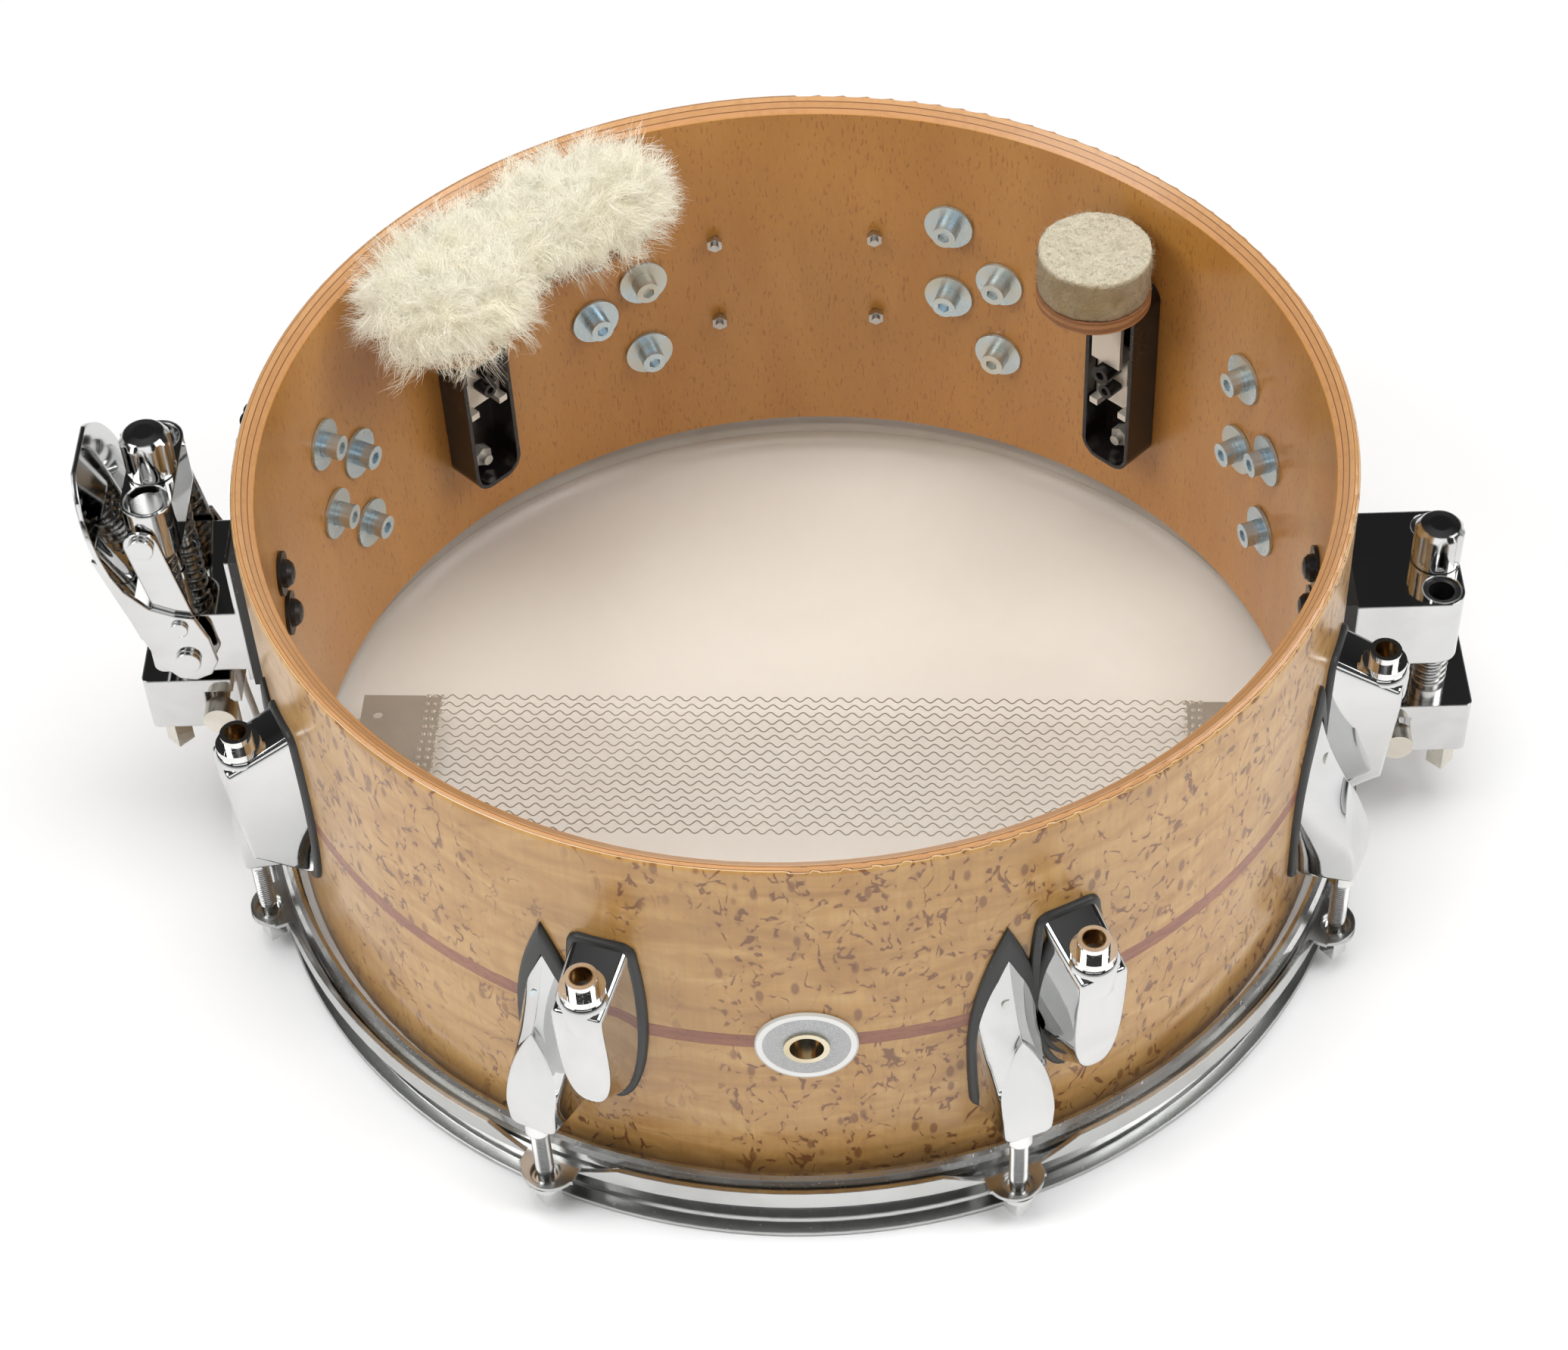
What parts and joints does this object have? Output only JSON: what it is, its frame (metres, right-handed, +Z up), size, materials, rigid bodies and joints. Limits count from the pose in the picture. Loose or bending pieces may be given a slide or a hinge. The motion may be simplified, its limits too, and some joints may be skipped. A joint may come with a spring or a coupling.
{
  "type": "snare drum",
  "caption": "Wooden snare drum without its top head: lacquered shell, triple-flanged snare-side hoop, tube lugs, throw-off, strainer wires and two sliding dampers.",
  "frame": {"origin": "on the drum's axis, level with the underside of the snare-side hoop's lip, where the drum rests", "axes": "+Z up along the drum axis, -Y to the vent and badge, -X to the throw-off, +X to the butt end"},
  "size_m": [0.4502, 0.3816, 0.178],
  "materials": {
    "shell_wood": "satin lacquered birch ply, beech inside",
    "inlay_wood": "satin lacquered red-brown band",
    "white_enamel": "gloss enamel",
    "brass_plated": "polished, nickel worn to brass",
    "head_film": "hazy translucent film",
    "satin_aluminium": "satin",
    "chrome_steel": "mirror chrome",
    "bright_steel": "plated",
    "zinc_steel": "zinc plated, slightly blue",
    "brass_nuts": "machined",
    "rubber_black": "matte",
    "black_plastic": "satin",
    "black_steel": "black oxide",
    "snare_steel": "drawn wire",
    "clamp_metal": "turned, lightly toned",
    "cord_nylon": "braided",
    "plywood": "sawn edge, unfinished",
    "felt_wool": "pressed felt",
    "sheepskin": "long wool pile"
  },
  "bodies": {
    "drum": {"anchor_screws": "black_steel", "batter_lug_gaskets": "rubber_black", "batter_lugs": "chrome_steel", "butt_bushes": "black_plastic", "butt_gasket": "rubber_black", "butt_housing": "chrome_steel", "damper_rail_bolts": "black_steel", "damper_rails": "black_steel", "inlay_band": "inlay_wood", "lug_screws": "zinc_steel", "lug_washers": "zinc_steel", "nameplate_studs": "bright_steel", "rear_nameplate": "white_enamel", "shell": "shell_wood", "snare_cords": "cord_nylon", "snare_end_plates": "snare_steel", "snare_head_film": "head_film", "snare_head_flesh_hoop": "satin_aluminium", "snare_lug_gaskets": "rubber_black", "snare_lugs": "chrome_steel", "snare_side_hoop": "chrome_steel", "snare_strands": "snare_steel", "swivel_nuts": "brass_nuts", "tension_rod_washers": "bright_steel", "throw_off_gasket": "rubber_black", "throw_off_housing": "chrome_steel", "vent_badge": "white_enamel", "vent_grommet": "brass_plated"},
    "felt_damper": {"felt_slide": "zinc_steel", "felt_bracket": "zinc_steel", "felt_screws": "black_steel", "felt_plate": "plywood", "felt_pad": "felt_wool"},
    "fleece_damper": {"fleece_slide": "zinc_steel", "fleece_bracket": "zinc_steel", "fleece_screws": "black_steel", "fleece_plate": "plywood", "fleece_pad": "sheepskin"},
    "lever": {"throw_off_lever": "chrome_steel", "throw_off_lever_pins": "chrome_steel"},
    "carriage": {"throw_off_carriage": "chrome_steel", "throw_off_springs": "chrome_steel"},
    "links": {"throw_off_links": "chrome_steel"},
    "throw_knob": {"throw_off_knob": "chrome_steel"},
    "throw_block": {"throw_off_guide_posts": "bright_steel", "throw_off_snare_block": "chrome_steel", "throw_off_clamp_screws": "clamp_metal"},
    "butt_knob": {"butt_knob": "chrome_steel"},
    "butt_block": {"butt_guide_posts": "bright_steel", "butt_snare_block": "chrome_steel", "butt_clamp_screws": "clamp_metal", "butt_springs": "chrome_steel"},
    "rod_1": {"tension_rod_1": "bright_steel"},
    "rod_2": {"tension_rod_2": "bright_steel"},
    "rod_3": {"tension_rod_3": "bright_steel"},
    "rod_4": {"tension_rod_4": "bright_steel"},
    "rod_5": {"tension_rod_5": "bright_steel"},
    "rod_6": {"tension_rod_6": "bright_steel"},
    "rod_7": {"tension_rod_7": "bright_steel"},
    "rod_8": {"tension_rod_8": "bright_steel"}
  },
  "joints": [
    {"name": "lever_swing", "type": "hinge", "parent": "drum", "child": "lever", "pos_m": [-0.1996, 0, 0.101], "axis": [0, -1, 0], "range_deg": [0, 75]},
    {"name": "carriage_drop", "type": "slide", "parent": "drum", "child": "carriage", "axis": [0, 0, 1], "range_m": [-0.01129, 0], "deforming": ["throw_off_springs"]},
    {"name": "link_swing", "type": "hinge", "parent": "carriage", "child": "links", "pos_m": [-0.2063, 0, 0.1512], "axis": [0, 1, 0], "range_deg": [0, 22]},
    {"name": "throw_knob_turn", "type": "hinge", "parent": "carriage", "child": "throw_knob", "pos_m": [-0.204, 0, 0.17], "axis": [0, 0, 1], "range_deg": [-725, 1085]},
    {"name": "throw_block_lift", "type": "slide", "parent": "carriage", "child": "throw_block", "axis": [0, 0, 1], "range_m": [-0.002, 0.003]},
    {"name": "butt_knob_turn", "type": "hinge", "parent": "drum", "child": "butt_knob", "pos_m": [0.209, 0, 0.11], "axis": [0, 0, 1], "range_deg": [-725, 1085]},
    {"name": "butt_block_lift", "type": "slide", "parent": "drum", "child": "butt_block", "axis": [0, 0, 1], "range_m": [-0.002, 0.003], "deforming": ["butt_springs"]},
    {"name": "felt_height", "type": "slide", "parent": "drum", "child": "felt_damper", "axis": [0, 0, 1], "range_m": [-0.004, 0.012]},
    {"name": "fleece_height", "type": "slide", "parent": "drum", "child": "fleece_damper", "axis": [0, 0, 1], "range_m": [-0.012, 0]},
    {"name": "rod_1_turn", "type": "hinge", "parent": "drum", "child": "rod_1", "pos_m": [0.18208, 0.06341, 0.02], "axis": [0, 0, 1], "continuous": true},
    {"name": "rod_2_turn", "type": "hinge", "parent": "drum", "child": "rod_2", "pos_m": [0.08391, 0.17358, 0.02], "axis": [0, 0, 1], "continuous": true},
    {"name": "rod_3_turn", "type": "hinge", "parent": "drum", "child": "rod_3", "pos_m": [-0.06341, 0.18208, 0.02], "axis": [0, 0, 1], "continuous": true},
    {"name": "rod_4_turn", "type": "hinge", "parent": "drum", "child": "rod_4", "pos_m": [-0.17358, 0.08391, 0.02], "axis": [0, 0, 1], "continuous": true},
    {"name": "rod_5_turn", "type": "hinge", "parent": "drum", "child": "rod_5", "pos_m": [-0.18208, -0.06341, 0.02], "axis": [0, 0, 1], "continuous": true},
    {"name": "rod_6_turn", "type": "hinge", "parent": "drum", "child": "rod_6", "pos_m": [-0.08391, -0.17358, 0.02], "axis": [0, 0, 1], "continuous": true},
    {"name": "rod_7_turn", "type": "hinge", "parent": "drum", "child": "rod_7", "pos_m": [0.06341, -0.18208, 0.02], "axis": [0, 0, 1], "continuous": true},
    {"name": "rod_8_turn", "type": "hinge", "parent": "drum", "child": "rod_8", "pos_m": [0.17358, -0.08391, 0.02], "axis": [0, 0, 1], "continuous": true}
  ],
  "couplings": [
    {"joint": "lever_swing", "follows": "carriage_drop", "rad_per_m": -115.88},
    {"joint": "link_swing", "follows": "carriage_drop", "rad_per_m": -33.836},
    {"joint": "throw_knob_turn", "follows": "throw_block_lift", "rad_per_m": 6283.2},
    {"joint": "butt_knob_turn", "follows": "butt_block_lift", "rad_per_m": 6283.2}
  ]
}
